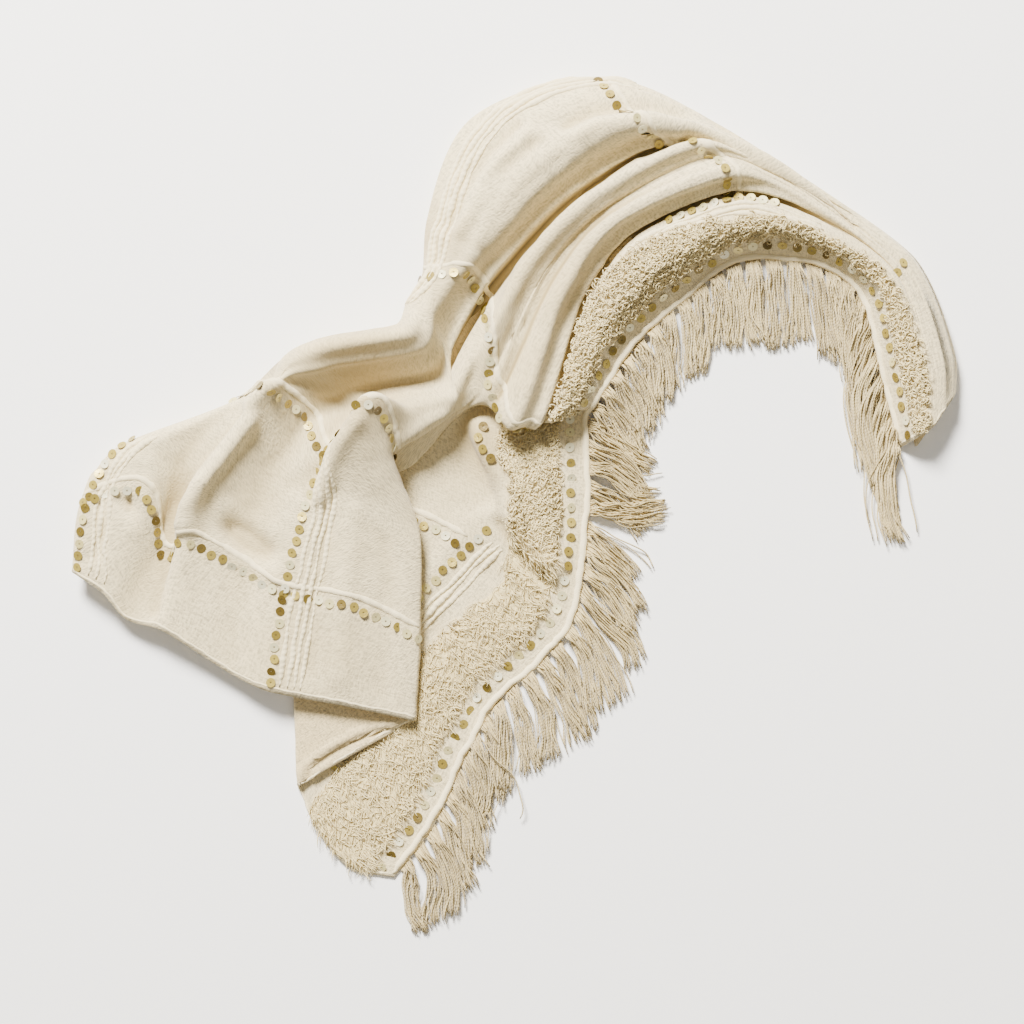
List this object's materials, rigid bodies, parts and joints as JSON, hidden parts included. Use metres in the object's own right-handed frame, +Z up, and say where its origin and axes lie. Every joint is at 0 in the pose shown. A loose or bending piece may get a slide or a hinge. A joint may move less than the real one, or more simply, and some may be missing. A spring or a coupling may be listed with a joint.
{
  "type": "throw blanket",
  "caption": "Cream throw blanket with a shag band, sequin rows and a fringed end, laid out in a gathered curve of soft overlapping folds.",
  "frame": {"origin": "middle of the laid-out throw's bounding box, on the surface that it lies on", "axes": "+Z up from the surface, +Y towards the top of the arch, +X towards its right end"},
  "size_m": [1.0657, 1.0331, 0.0962],
  "materials": {
    "cloth": "matt, hand-woven slub",
    "pile": "matt, curly tufts",
    "fringe": "matt, twisted cotton yarn",
    "sequin": "metallised, gold and pearl"
  },
  "bodies": {
    "root": {"throw_cloth": "cloth", "fringe": "fringe"}
  },
  "joints": []
}
